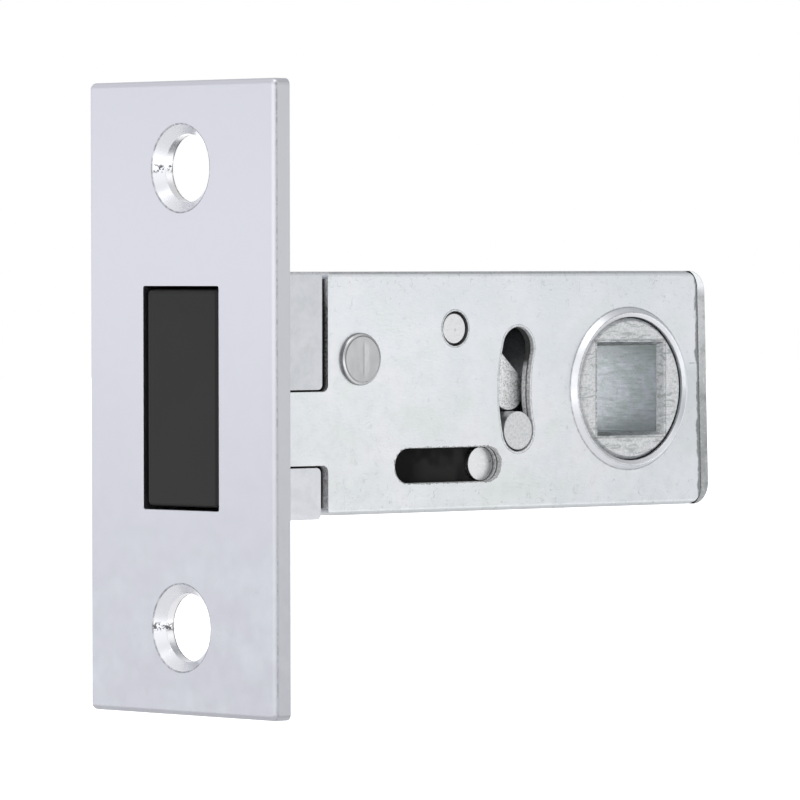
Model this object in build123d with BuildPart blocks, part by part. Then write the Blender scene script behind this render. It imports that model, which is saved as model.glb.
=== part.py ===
from build123d import *
from math import asin, atan2, cos, degrees, hypot, radians, sin
import os

os.makedirs("parts", exist_ok=True)

# Interior door latch with a flush sliding bolt, worked by a square spindle.
# Millimetres. The origin is the centre of the faceplate's back face, which seats on the door edge.
# +X runs into the door along the case, +Z is up, and the open side with the slots faces -Y.

# Faceplate
plate_height = 57.15
plate_width = 25.6
plate_thickness = 1.8
plate_corner_radius = 0.6
plate_edge_round = 0.5
screw_spacing = 41.4
screw_hole_radius = 3.1
countersink_radius = 4.0
window_width = 10.4
window_height = 20.2
window_corner_radius = 0.2

# Case, folded from sheet
case_thickness = 12.5
case_height = 22.1
case_rise = 0.3  # the case's middle stands this far above the faceplate's middle
sheet = 1.1
fold_radius = 0.45
inner_fold_radius = 0.2
rear_room = 1.6  # between the hub and the rear wall
rear_lean = 0.6  # the rear's foot stands this much further back than its top
rear_corner_radius = 2.0
side_corner_radius = 1.6
seam_gap = 0.12
mouth_x = 10.4  # where the case's top, bottom and sides begin
notch_corner_radius = 0.6
tongue_depth = 0.8  # how deep the tongue is staked into the faceplate
tongue_clearance = 0.18

# Ears cast on the back of the faceplate
upper_ear_length = 9.7
lower_ear_length = 9.5
ear_drop = 0.3  # the lower ear reaches this far below the case
tongue_top = 0.5
tongue_bottom = -6.2
ear_corner_radius = 0.5

# Hub, on the spindle's axis
backset = 50.2  # from the faceplate's front face to the spindle's axis
spindle_square = 8.1
square_chamfer = 0.35
square_lead = 0.75  # depth of the lead-in at each end of the square
hub_radius = 7.6
boss_radius = 6.65
boss_chamfer = 0.3
boss_stand = 0.3  # how far the boss stands out of the side
collar_radius = 7.65  # at the foot of the ridge round the hub hole
collar_crest_radius = 7.15
collar_crest_height = 0.65
collar_lip_height = 0.3  # at the edge of the hub hole
collar_crest_round = 0.12
running_clearance = 0.1
side_clearance = 0.3  # between what turns inside and the case's sides
arm_radius = 14.8
arm_rest_angle = 14.5  # below the horizontal
hub_travel = 30.0
arm_pin_radius = 1.775
arm_slot_width = 3.9
arm_thickness = 5.0
arm_upper_root = 3.0
arm_upper_tip = 1.0
arm_lower_root = 6.0

# Bell-crank lever between the hub and the bolt
lever_from_front = 27.95
lever_headroom = 0.95  # between the lever's boss and the case's top wall
lever_boss_radius = 3.2
lever_pin_radius = 1.5
lever_pin_recess = 0.15
press_clearance = 0.02
nose_radius = 1.9
nose_reach = 8.14  # from the pivot towards the hub
nose_lift = 3.77  # the nose's middle lies this far above the middle of the hub's pin
tail_half_width = 1.6
tail_length = 13.5
tail_clearance = 0.15  # left between the tail and the bolt's pin at full travel
lever_ratio = 1.56  # the lever's turn for each degree of the hub's
web_lower_radius = 2.1  # how far the arm's underside passes below the pivot
nose_lower_radius = 1.38  # and below the nose's middle
tail_thickness = 5.0
spring_stud_reach = 7.0
spring_stud_radius = 0.8
stud_overhang = 0.4  # beyond the spring's loop

# Bolt and its cross pin
bolt_recess = 0.15
bolt_clearance = 0.3
bolt_head_length = 11.65
bolt_face_round = 0.4
bolt_shoulder_length = 1.4
bolt_edge_round = 0.5
bolt_pin_radius = 1.55
bolt_pin_recess = 0.95
bolt_pin_rise = 3.22  # above the case's floor
bolt_throw = 9.87
slot_clearance = 0.05
stop_clearance = 0.1
bolt_pin_from_front = 31.95
fork_cheek_rise = 3.0  # above the pin's axis
fork_gap = 5.8
fork_wall = 1.1
fork_root_clearance = 0.5
magnet_radius = 3.5
magnet_length = 8.0
magnet_z = 3.4
magnet_cover = 1.5
magnet_chamfer = 0.3

# Spacer rivet across the front of the case
rivet_from_front = 16.1
rivet_z = 3.4
rivet_shank_radius = 1.5
rivet_spacer_radius = 2.2
rivet_head_radius = 2.4
rivet_head_height = 0.4
rivet_head_round = 0.3

# Springs
spring_wire = 0.4
spring_pitch = 0.58
spring_coil_radius = 1.0
loop_clearance = 0.08
post_radius = 0.9
post_head_radius = 1.3
post_head_length = 0.5
post_from_front = 44.6
spring_rise = 1.8  # above the case's floor
lug_length = 2.4
lug_hole_radius = 0.7
lug_wall = 0.8
lug_thickness = 1.3
loop_radius = 1.05
loop_opening = 40.0  # degrees on each side of the spring's line
spring_lead = 0.5  # along the line, between the coil and each loop

# Staked tabs that hold the cover on the case body
tab_length = 5.0
tab_places = (24.0, 46.0)
tab_clearance = 0.05

# Edges are picked by their place to within this
pick_tolerance = 0.01

# Places worked out from the sizes above
half_case = case_thickness / 2
half_inside = half_case - sheet
case_top = case_rise + case_height / 2
case_bottom = case_rise - case_height / 2
inside_top = case_top - sheet
inside_bottom = case_bottom + sheet
front_x = -plate_thickness
hub_x = backset - plate_thickness
hub_z = case_rise
lever_x = lever_from_front - plate_thickness
lever_z = inside_top - lever_headroom - lever_boss_radius
bolt_pin_x = bolt_pin_from_front - plate_thickness
bolt_pin_z = inside_bottom + bolt_pin_rise
fork_cheek_top = bolt_pin_z + fork_cheek_rise
spring_line_z = inside_bottom + spring_rise
rivet_x = rivet_from_front - plate_thickness
post_x = post_from_front - plate_thickness
rear_x = hub_x + hub_radius + rear_room + sheet
side_end_x = rear_x - sheet + seam_gap / 2
rim_start_x = rear_x - rear_lean / 2 - rear_corner_radius
tongue_height = tongue_top - tongue_bottom
tongue_mid_z = (tongue_top + tongue_bottom) / 2
arm_pin_x = hub_x - arm_radius * cos(radians(arm_rest_angle))
arm_pin_z = hub_z - arm_radius * sin(radians(arm_rest_angle))
nose_x = lever_x + nose_reach
nose_z = arm_pin_z + nose_lift
nose_drop = lever_z - nose_z
lever_travel = hub_travel * lever_ratio
bolt_pin_drop = lever_z - bolt_pin_z
bolt_pin_reach = bolt_pin_x - lever_x
bolt_pin_angle = degrees(atan2(bolt_pin_reach, bolt_pin_drop))
tail_offset = tail_half_width + bolt_pin_radius + tail_clearance
tail_end_angle = bolt_pin_angle - degrees(asin(tail_offset / hypot(bolt_pin_reach, bolt_pin_drop)))
tail_rest_angle = lever_travel - tail_end_angle  # forward of straight down
tail_direction = (-sin(radians(tail_rest_angle)), -cos(radians(tail_rest_angle)))
nose_distance = hypot(nose_reach, nose_drop)
underside_turn = asin((nose_lower_radius - web_lower_radius) / nose_distance)
underside_angle = degrees(atan2(nose_drop, nose_reach) + underside_turn)
tail_tip_x = lever_x + tail_length * tail_direction[0]
tail_tip_z = lever_z + tail_length * tail_direction[1]
stud_x = lever_x + spring_stud_reach * tail_direction[0]
stud_z = lever_z + spring_stud_reach * tail_direction[1]
bolt_slot_half_width = bolt_pin_radius + slot_clearance
bolt_slot_rear_x = bolt_pin_x + stop_clearance
bolt_slot_front_x = bolt_pin_x - bolt_throw - stop_clearance
fork_half_width = half_inside - side_clearance
spring_y = (fork_half_width + fork_gap / 2) / 2  # in line with the fork's far cheek
lug_hole_x = bolt_pin_x + bolt_pin_radius + fork_wall + lug_length / 3


def side_plane(y):
    """A plane seen from the slotted side: local x is X and local y is Z."""
    return Plane.XZ.offset(-y)


def across(x, z, y=0.0):
    """A plane on an axis that crosses the case, with its normal along +Y."""
    return Plane(origin=(x, y, z), x_dir=(1, 0, 0), z_dir=(0, 1, 0))


def tangent_web(x1, z1, r1, x2, z2, r2):
    """The sketch of two discs and the web between their outer tangents."""
    with BuildSketch() as web:
        with Locations((x1, z1)):
            Circle(r1)
        with Locations((x2, z2)):
            Circle(r2)
        make_hull()
    return web.sketch_local


def lever_arm_outline():
    """The lever's boss and nose, with a web that is cut back along its underside."""
    along = Vector(cos(radians(underside_angle)), -sin(radians(underside_angle)))
    down = Vector(-sin(radians(underside_angle)), -cos(radians(underside_angle)))
    middle = Vector(lever_x, lever_z) + along * nose_distance / 2
    cut = middle + down * (web_lower_radius + lever_boss_radius)
    with BuildSketch() as outline:
        add(tangent_web(lever_x, lever_z, lever_boss_radius, nose_x, nose_z, nose_radius))
        with Locations(Location((cut.X, cut.Y), -underside_angle)):
            Rectangle(2 * nose_distance, 2 * lever_boss_radius, mode=Mode.SUBTRACT)
        with Locations((lever_x, lever_z)):
            Circle(lever_boss_radius)
        with Locations((nose_x, nose_z)):
            Circle(nose_radius)
    return outline.sketch_local


def case_side_outline(rear, corner):
    """A side's outline, with the tongue at the front and round corners at the rear."""
    with BuildSketch() as outline:
        with BuildLine():
            Polyline(
                (-tongue_depth, tongue_bottom),
                (mouth_x, tongue_bottom),
                (mouth_x, case_bottom),
                (rear + rear_lean / 2, case_bottom),
                (rear - rear_lean / 2, case_top),
                (mouth_x, case_top),
                (mouth_x, tongue_top),
                (-tongue_depth, tongue_top),
                close=True,
            )
        make_face()
        by_x = outline.vertices().sort_by(Axis.X)
        fillet(by_x[-2:], corner)
        notch = outline.vertices().group_by(Axis.X)[1]
        fillet(notch, notch_corner_radius)
    return outline.sketch_local


def side_collar(outer_y):
    """The ridge round the hub hole, coined outwards in a side whose face is at outer_y."""
    outwards = 1 if outer_y < 0 else -1
    ridge_plane = Plane(origin=(hub_x, outer_y, hub_z), x_dir=(1, 0, 0), z_dir=(0, 0, -outwards))
    with BuildPart() as collar:
        with BuildSketch(ridge_plane) as ridge:
            with BuildLine():
                Polyline(
                    (boss_radius, 0),
                    (collar_radius, 0),
                    (collar_crest_radius, collar_crest_height),
                    (boss_radius, collar_lip_height),
                    close=True,
                )
            make_face()
            fillet(ridge.vertices().sort_by(Axis.Y)[-1], collar_crest_round)
        revolve(axis=Axis((hub_x, 0, hub_z), (0, 1, 0)))
    return collar.part


def side_openings(outer_y):
    """What is punched out of a side: hub hole, lever hole, rivet hole and the two slots."""
    outwards = 1 if outer_y < 0 else -1
    with BuildPart() as punched:
        with BuildSketch(side_plane(outer_y - outwards * collar_crest_height)):
            with Locations((hub_x, hub_z)):
                Circle(boss_radius + running_clearance)
            with Locations((lever_x, lever_z)):
                Circle(lever_pin_radius + running_clearance)
            with Locations(((bolt_slot_front_x + bolt_slot_rear_x) / 2, bolt_pin_z)):
                SlotCenterToCenter(bolt_slot_rear_x - bolt_slot_front_x, 2 * bolt_slot_half_width)
            with Locations((rivet_x, rivet_z)):
                Circle(rivet_shank_radius)
            for angle in (180 + arm_rest_angle - hub_travel, 180 + arm_rest_angle):
                end = (
                    hub_x + arm_radius * cos(radians(angle)),
                    hub_z + arm_radius * sin(radians(angle)),
                )
                with Locations(end):
                    Circle(arm_slot_width / 2)
            with BuildLine():
                inner = CenterArc(
                    (hub_x, hub_z),
                    arm_radius - arm_slot_width / 2,
                    180 + arm_rest_angle - hub_travel,
                    hub_travel,
                )
                outer = CenterArc(
                    (hub_x, hub_z),
                    arm_radius + arm_slot_width / 2,
                    180 + arm_rest_angle - hub_travel,
                    hub_travel,
                )
                Line(inner @ 0, outer @ 0)
                Line(inner @ 1, outer @ 1)
            make_face()
        extrude(amount=-outwards * (collar_crest_height + sheet))
    return punched.part


# Forend: the faceplate with the two pairs of ears, one casting
with BuildPart() as forend:
    with BuildSketch(Plane.YZ.offset(front_x)):
        RectangleRounded(plate_width, plate_height, plate_corner_radius)
    extrude(amount=plate_thickness)
    fillet(forend.faces().sort_by(Axis.X)[0].edges(), plate_edge_round)
    upper_height = case_top - tongue_top - tongue_clearance
    lower_height = tongue_bottom - tongue_clearance - case_bottom + ear_drop
    with BuildSketch(Plane.YZ):
        with Locations((0, case_top - upper_height / 2)):
            Rectangle(case_thickness, upper_height)
    extrude(amount=upper_ear_length)
    with BuildSketch(Plane.YZ):
        with Locations((0, case_bottom - ear_drop + lower_height / 2)):
            Rectangle(case_thickness, lower_height)
    extrude(amount=lower_ear_length)
    rear_edges = forend.edges().filter_by(Axis.Y)
    rear_edges = rear_edges.filter_by(lambda e: e.center().X > lower_ear_length - pick_tolerance)
    fillet(rear_edges, ear_corner_radius)
    with BuildSketch(Plane.YZ.offset(front_x)):
        RectangleRounded(window_width, window_height, window_corner_radius)
    extrude(amount=plate_thickness + upper_ear_length, mode=Mode.SUBTRACT)
    with BuildSketch(Plane.YZ):
        with Locations((-half_case + sheet / 2, tongue_mid_z), (half_case - sheet / 2, tongue_mid_z)):
            Rectangle(sheet, tongue_height)
    extrude(amount=-tongue_depth, mode=Mode.SUBTRACT)
    with Locations(
        Plane(origin=(front_x, 0, screw_spacing / 2), z_dir=(-1, 0, 0)),
        Plane(origin=(front_x, 0, -screw_spacing / 2), z_dir=(-1, 0, 0)),
    ):
        CounterSinkHole(screw_hole_radius, countersink_radius, plate_thickness, 90)
forend.part.label = "forend"

# Case body: the slotted side with its folded top and bottom
near_collar = side_collar(-half_case)
near_openings = side_openings(-half_case)
near_outline = case_side_outline(side_end_x, side_corner_radius)
with BuildPart() as case_body:
    with BuildSketch(Plane.YZ.offset(-tongue_depth)) as channel:
        with Locations((-sheet / 2, case_rise)):
            Rectangle(case_thickness - sheet, case_height)
        fillet(channel.vertices().sort_by(Axis.X)[:2], fold_radius)
        with BuildSketch(mode=Mode.PRIVATE) as hollow:
            with Locations((0, case_rise)):
                Rectangle(2 * half_inside, case_height - 2 * sheet)
            fillet(hollow.vertices().sort_by(Axis.X)[:2], inner_fold_radius)
        add(hollow.sketch, mode=Mode.SUBTRACT)
    extrude(amount=rear_x + tongue_depth)
    for side in (1, -1):
        wall_z = case_rise + side * (case_height - sheet) / 2
        with BuildSketch(side_plane(half_inside)):
            with Locations(*[(place, wall_z) for place in tab_places]):
                Rectangle(tab_length, sheet)
        extrude(amount=-sheet)
    with BuildSketch(side_plane(half_case)):
        add(near_outline)
    extrude(amount=case_thickness, mode=Mode.INTERSECT)
    with BuildSketch(side_plane(half_case)):
        with Locations((rear_x, case_rise)):
            Rectangle(2 * (rear_x - rim_start_x), case_height)
    extrude(amount=case_thickness - sheet, mode=Mode.SUBTRACT)
    add(near_collar)
    add(near_openings, mode=Mode.SUBTRACT)
case_body.part.label = "case_body"

# Case cover: the far side with the rear wall that wraps round to the slotted side
far_collar = side_collar(half_case)
far_openings = side_openings(half_case)
far_outline = case_side_outline(rear_x, rear_corner_radius)
rim_hollow = offset(far_outline, -sheet)
seam_outline = offset(near_outline, seam_gap)
with BuildPart() as case_cover:
    with BuildSketch(side_plane(half_case)):
        add(far_outline)
    extrude(amount=sheet)
    with BuildSketch(side_plane(half_inside)):
        add(far_outline)
        with Locations(((rim_start_x - tongue_depth) / 2, case_rise)):
            Rectangle(rim_start_x + tongue_depth, 2 * case_height, mode=Mode.SUBTRACT)
        add(rim_hollow, mode=Mode.SUBTRACT)
    extrude(amount=2 * half_inside)
    with BuildSketch(side_plane(-half_inside)):
        add(far_outline)
        add(seam_outline, mode=Mode.SUBTRACT)
    extrude(amount=sheet)
    far_edges = case_cover.edges().filter_by(GeomType.LINE)
    far_edges = far_edges.filter_by(lambda e: e.center().X > rear_x - pick_tolerance)
    far_edges = far_edges.filter_by(lambda e: e.center().Y > half_case - pick_tolerance)
    fillet(far_edges, sheet - inner_fold_radius)
    for side in (1, -1):
        wall_z = case_rise + side * (case_height - sheet) / 2
        with BuildSketch(side_plane(half_case)):
            with Locations(*[(place, wall_z - side * tab_clearance / 2) for place in tab_places]):
                Rectangle(tab_length + 2 * tab_clearance, sheet + tab_clearance)
        extrude(amount=sheet, mode=Mode.SUBTRACT)
    add(far_collar)
    add(far_openings, mode=Mode.SUBTRACT)
    with BuildSketch(side_plane(half_case)):
        with Locations((post_x, spring_line_z)):
            Circle(post_radius)
    extrude(amount=sheet, mode=Mode.SUBTRACT)
case_cover.part.label = "case_cover"

# Spacer rivet, headed on both sides
with BuildPart() as spacer_rivet:
    with BuildSketch(across(rivet_x, rivet_z)):
        Circle(rivet_spacer_radius)
    extrude(amount=half_inside, both=True)
    with BuildSketch(across(rivet_x, rivet_z)):
        Circle(rivet_shank_radius)
    extrude(amount=half_case, both=True)
    for out in (1, -1):
        with BuildSketch(across(rivet_x, rivet_z, out * half_case)):
            Circle(rivet_head_radius)
        extrude(amount=out * rivet_head_height)
    crowns = spacer_rivet.edges().filter_by(GeomType.CIRCLE)
    crowns = crowns.filter_by(lambda e: abs(e.center().Y) > half_case + rivet_head_height - pick_tolerance)
    fillet(crowns, rivet_head_round)
spacer_rivet.part.label = "spacer_rivet"

# Hub with its arm and cross pin, one casting
with BuildPart() as hub:
    with BuildSketch(side_plane(0)):
        with Locations((hub_x, hub_z)):
            Circle(hub_radius)
    extrude(amount=half_inside - side_clearance, both=True)
    with BuildSketch(side_plane(0)):
        with Locations((hub_x, hub_z)):
            Circle(boss_radius)
    extrude(amount=half_case + boss_stand, both=True)
    boss_rims = hub.edges().filter_by(GeomType.CIRCLE)
    boss_rims = boss_rims.filter_by(lambda e: abs(abs(e.center().Y) - half_case - boss_stand) < pick_tolerance)
    chamfer(boss_rims, boss_chamfer)
    arm_frame = Plane(
        origin=(arm_pin_x, 0, arm_pin_z),
        x_dir=(cos(radians(arm_rest_angle)), 0, sin(radians(arm_rest_angle))),
        z_dir=(0, -1, 0),
    )
    with BuildSketch(arm_frame):
        with BuildLine():
            Polyline(
                (0, arm_upper_tip),
                (arm_radius, arm_upper_root),
                (arm_radius, -arm_lower_root),
                (0, -arm_pin_radius),
                close=True,
            )
        make_face()
    extrude(amount=arm_thickness / 2, both=True)
    with BuildSketch(side_plane(0)):
        with Locations((arm_pin_x, arm_pin_z)):
            Circle(arm_pin_radius)
    extrude(amount=half_case, both=True)
    with BuildSketch(side_plane(0)):
        with Locations((hub_x, hub_z)):
            Rectangle(spindle_square, spindle_square)
    extrude(amount=half_case + boss_stand, both=True, mode=Mode.SUBTRACT)
    for end in (0, -1):
        mouth = hub.faces().filter_by(Axis.Y).sort_by(Axis.Y)[end]
        chamfer(mouth.edges().filter_by(GeomType.LINE), square_chamfer, square_lead, reference=mouth)
hub.part.label = "hub"

# Bell-crank lever: a wide arm under the hub's pin and a narrow tail in the bolt's fork
lever_arm = lever_arm_outline()
lever_tail = tangent_web(lever_x, lever_z, tail_half_width, tail_tip_x, tail_tip_z, tail_half_width)
with BuildPart() as lever:
    with BuildSketch(side_plane(0)):
        add(lever_arm)
    extrude(amount=half_inside - side_clearance - running_clearance, both=True)
    with BuildSketch(side_plane(0)):
        add(lever_tail)
    extrude(amount=tail_thickness / 2, both=True)
    with BuildSketch(side_plane(0)):
        with Locations((stud_x, stud_z)):
            Circle(spring_stud_radius)
    extrude(amount=-(spring_y + spring_wire + loop_clearance + stud_overhang))
    with BuildSketch(side_plane(0)):
        with Locations((lever_x, lever_z)):
            Circle(lever_pin_radius + press_clearance)
    extrude(amount=half_case, both=True, mode=Mode.SUBTRACT)
lever.part.label = "lever"

# Pin pressed into the lever, which turns in the case's sides
with BuildPart() as lever_pin:
    with BuildSketch(across(lever_x, lever_z)):
        Circle(lever_pin_radius)
    extrude(amount=half_case - lever_pin_recess, both=True)
    chamfer(lever_pin.edges().filter_by(GeomType.CIRCLE), lever_pin_recess)
lever_pin.part.label = "lever_pin"

# Bolt: head, shoulder and forked tail, one moulding
head_width = window_width - 2 * bolt_clearance
head_height = window_height - 2 * bolt_clearance
bolt_front_x = front_x + bolt_recess
shoulder_x = bolt_front_x + bolt_head_length
shoulder_end_x = shoulder_x + bolt_shoulder_length
fork_bottom = inside_bottom + side_clearance
shoulder_top = inside_top - side_clearance - case_rise
fork_end_x = bolt_pin_x + bolt_pin_radius + fork_wall
fork_root_x = tail_tip_x - tail_half_width - fork_root_clearance
lug_top = spring_line_z + lug_hole_radius + lug_wall
with BuildPart() as bolt:
    with BuildSketch(Plane.YZ.offset(bolt_front_x)):
        RectangleRounded(head_width, head_height, bolt_edge_round)
    extrude(amount=bolt_head_length)
    fillet(bolt.faces().sort_by(Axis.X)[0].edges(), bolt_face_round)
    with BuildSketch(side_plane(0)):
        with BuildLine():
            Polyline(
                (shoulder_x, fork_bottom),
                (shoulder_x, shoulder_top),
                (shoulder_end_x, shoulder_top),
                (shoulder_end_x, fork_cheek_top),
                (bolt_pin_x, fork_cheek_top),
                (bolt_pin_x, fork_bottom),
                close=True,
            )
        make_face()
        with Locations((bolt_pin_x, bolt_pin_z)):
            Circle(bolt_pin_radius + fork_wall)
        with Locations(((bolt_pin_x + fork_end_x) / 2, (bolt_pin_z + fork_bottom) / 2)):
            Rectangle(fork_end_x - bolt_pin_x, bolt_pin_z - fork_bottom)
    extrude(amount=fork_half_width, both=True)
    with BuildSketch(side_plane(0)):
        with Locations(((fork_root_x + fork_end_x) / 2, case_rise)):
            Rectangle(fork_end_x - fork_root_x, case_height)
    extrude(amount=fork_gap / 2, both=True, mode=Mode.SUBTRACT)
    with BuildSketch(side_plane(spring_y + lug_thickness / 2)):
        with Locations((fork_end_x + lug_length / 2, (lug_top + fork_bottom) / 2)):
            Rectangle(lug_length, lug_top - fork_bottom)
    extrude(amount=lug_thickness)
    with BuildSketch(across(lug_hole_x, spring_line_z)):
        Circle(lug_hole_radius)
    extrude(amount=half_case, mode=Mode.SUBTRACT)
    with BuildSketch(across(bolt_pin_x, bolt_pin_z)):
        Circle(bolt_pin_radius + press_clearance)
    extrude(amount=half_case, both=True, mode=Mode.SUBTRACT)
    with BuildSketch(Plane(origin=(shoulder_end_x, 0, magnet_z), z_dir=(-1, 0, 0))):
        Circle(magnet_radius + press_clearance)
    extrude(amount=shoulder_end_x - bolt_front_x - magnet_cover, mode=Mode.SUBTRACT)
bolt.part.label = "bolt"

# Magnet pressed into the bolt's head from behind
with BuildPart() as bolt_magnet:
    with BuildSketch(Plane(origin=(bolt_front_x + magnet_cover, 0, magnet_z), z_dir=(1, 0, 0))):
        Circle(magnet_radius)
    extrude(amount=magnet_length)
    chamfer(bolt_magnet.edges().filter_by(GeomType.CIRCLE), magnet_chamfer)
bolt_magnet.part.label = "bolt_magnet"

# Cross pin of the bolt, guided by the straight slots
with BuildPart() as bolt_pin:
    with BuildSketch(across(bolt_pin_x, bolt_pin_z)):
        Circle(bolt_pin_radius)
    extrude(amount=half_case - bolt_pin_recess, both=True)
bolt_pin.part.label = "bolt_pin"

# Post riveted into the cover for the bolt's spring
with BuildPart() as spring_post:
    with BuildSketch(across(post_x, spring_line_z, half_case)):
        Circle(post_radius)
    extrude(amount=-(half_case - spring_y + spring_wire + loop_clearance + post_head_length))
    with BuildSketch(across(post_x, spring_line_z, spring_y - spring_wire - loop_clearance)):
        Circle(post_head_radius)
    extrude(amount=-post_head_length)
spring_post.part.label = "spring_post"


def hooked_spring(start, start_loop, start_across, end, end_loop):
    """An extension spring between two (x, z) eyes: one wire with a loop, a coil and a loop."""
    x1, z1 = start
    x2, z2 = end
    a = Vector(x1, spring_y, z1)
    b = Vector(x2, spring_y, z2)
    line = (b - a).normalized()
    coil_start = a + line * (start_loop + spring_lead)
    coil_length = (b - a).length - start_loop - end_loop - 2 * spring_lead
    pitch = coil_length / max(1, round(coil_length / spring_pitch))
    with BuildPart() as spring:
        with BuildLine() as wire:
            coil = Helix(pitch, coil_length, spring_coil_radius, center=coil_start, direction=line)
            ends = ((a, start_loop, start_across, line * -1, 0), (b, end_loop, False, line, 1))
            for eye, loop, flat, outwards, tip in ends:
                loop_plane = Plane(origin=eye, x_dir=outwards * -1, z_dir=(0, 0, 1) if flat else (0, 1, 0))
                hook = CenterArc((0, 0), loop, loop_opening, 360 - 2 * loop_opening, mode=Mode.PRIVATE)
                hook = loop_plane * hook
                add(hook)
                leaving = (coil % tip) * (1 if tip else -1)
                Spline(coil @ tip, hook @ 0, tangents=(leaving, hook % 0))
        path = wire.wires()[0]
        with BuildSketch(Plane(origin=path @ 0, z_dir=path % 0)):
            Circle(spring_wire / 2)
        sweep(path=path)
    return spring.part


# Spring that draws the bolt back into the case
bolt_spring = hooked_spring(
    (lug_hole_x + loop_radius, spring_line_z),
    loop_radius,
    True,
    (post_x, spring_line_z),
    post_radius + loop_clearance + spring_wire / 2,
)
bolt_spring.label = "bolt_spring"

# Spring that returns the lever and, through it, the hub
return_spring = hooked_spring(
    (rivet_x, rivet_z),
    rivet_spacer_radius + loop_clearance + spring_wire / 2,
    False,
    (stud_x, stud_z),
    spring_stud_radius + loop_clearance + spring_wire / 2,
)
return_spring.label = "return_spring"

pieces = (
    forend.part,
    case_body.part,
    case_cover.part,
    spacer_rivet.part,
    hub.part,
    lever.part,
    lever_pin.part,
    bolt.part,
    bolt_magnet.part,
    bolt_pin.part,
    spring_post.part,
    bolt_spring,
    return_spring,
)
for piece in pieces:
    export_step(piece, f"parts/{piece.label}.step")
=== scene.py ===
"""An interior door latch: materials, springs, studio and camera, in metres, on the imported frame."""

import math

import bpy
from mathutils import Matrix, Vector


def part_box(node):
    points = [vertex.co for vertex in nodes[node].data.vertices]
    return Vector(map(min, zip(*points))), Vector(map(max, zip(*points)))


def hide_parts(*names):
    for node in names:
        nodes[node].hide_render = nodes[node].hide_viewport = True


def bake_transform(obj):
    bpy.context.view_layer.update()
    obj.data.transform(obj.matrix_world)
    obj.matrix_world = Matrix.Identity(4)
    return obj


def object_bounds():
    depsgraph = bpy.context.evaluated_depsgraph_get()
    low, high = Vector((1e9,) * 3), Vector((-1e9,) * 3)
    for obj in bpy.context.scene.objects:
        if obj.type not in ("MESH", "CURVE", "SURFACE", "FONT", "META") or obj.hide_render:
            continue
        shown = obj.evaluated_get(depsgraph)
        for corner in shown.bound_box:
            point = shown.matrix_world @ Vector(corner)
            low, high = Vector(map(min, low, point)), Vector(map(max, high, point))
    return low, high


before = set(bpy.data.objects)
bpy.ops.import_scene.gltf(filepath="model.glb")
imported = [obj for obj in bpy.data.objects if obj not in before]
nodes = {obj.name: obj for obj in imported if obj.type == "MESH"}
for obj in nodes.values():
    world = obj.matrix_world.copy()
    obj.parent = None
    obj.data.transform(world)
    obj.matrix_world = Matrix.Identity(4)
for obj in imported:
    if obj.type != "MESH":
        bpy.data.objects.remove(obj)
cad_low, cad_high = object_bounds()
MM = 0.001

# Boxes of the nodes whose places the materials need
plate_low, plate_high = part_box("forend")
case_low, case_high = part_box("case_body")
pin_low, pin_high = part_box("lever_pin")
rivet_low, rivet_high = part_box("spacer_rivet")
hub_low, hub_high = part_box("hub")
bolt_pin_low, bolt_pin_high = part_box("bolt_pin")

# The faceplate's screw holes
SCREW_Z = 20.7 * MM  # from the faceplate's middle to each hole
HOLE_RADIUS = 3.1 * MM
COUNTERSINK_RADIUS = 4.0 * MM
CONE_DEPTH = 0.9 * MM  # below the front, where the cone ends in a straight bore

# The case
CASE_MIDDLE = (case_low.z + case_high.z) / 2
CASE_TOP = case_high.z
CASE_SIDE = 6.25 * MM  # from the middle to each outer face
SHEET_INSIDE = 5.1 * MM  # just short of each side's inner face
SHEET_CORE = CASE_SIDE - 0.5 * MM  # about halfway through the sheet
FOLD_INSIDE = 10.4 * MM  # from the middle to just inside the folded top and bottom
MOUTH_X = 10.4 * MM  # the front of the case's top, bottom and sides
SEAM_X = case_high.x - 0.3 * MM  # the rear seam, halfway up
SEAM_LEAN = 0.6 / 22.1  # the seam leans forward by this much of its rise

# The hub, its collar and the curved slot of its arm
HUB_RADIUS = (hub_high.z - hub_low.z) / 2
HUB_CENTRE = Vector((hub_high.x - HUB_RADIUS, 0, (hub_high.z + hub_low.z) / 2))
SQUARE_HALF = 4.05 * MM
COLLAR_RADIUS = 7.65 * MM
ARM_RADIUS = 14.8 * MM  # from the hub's axis to the middle of the curved slot
ARM_SLOT_HALF = 1.95 * MM
ARM_REST = 14.5  # degrees below the hub's -X side, at rest
HUB_TRAVEL = 30.0  # degrees

# The lever's pin, the rivet, the bolt and the straight slot of its pin
PIN_CENTRE = (pin_low + pin_high) / 2
PIN_HOLE_RADIUS = 1.6 * MM
RIVET_CENTRE = (rivet_low + rivet_high) / 2
BOLT_PIN_Z = (bolt_pin_low.z + bolt_pin_high.z) / 2
SLOT_HIGH_X = (bolt_pin_low.x + bolt_pin_high.x) / 2 + 0.1 * MM
SLOT_LOW_X = SLOT_HIGH_X - 10.07 * MM
SLOT_HALF = 1.6 * MM
HEAD_END_X = 11 * MM  # where the bolt's head gives way to its tail

# Camera, with its angles in degrees
CAMERA_AZIMUTH = -42.5
CAMERA_ELEVATION = 1.066
CAMERA_ROLL = -0.107
CAMERA_DISTANCE = 0.65
CAMERA_TARGET = Vector((14.6, -11.3, -0.25)) * MM
CAMERA_LENS = 323.67

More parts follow.
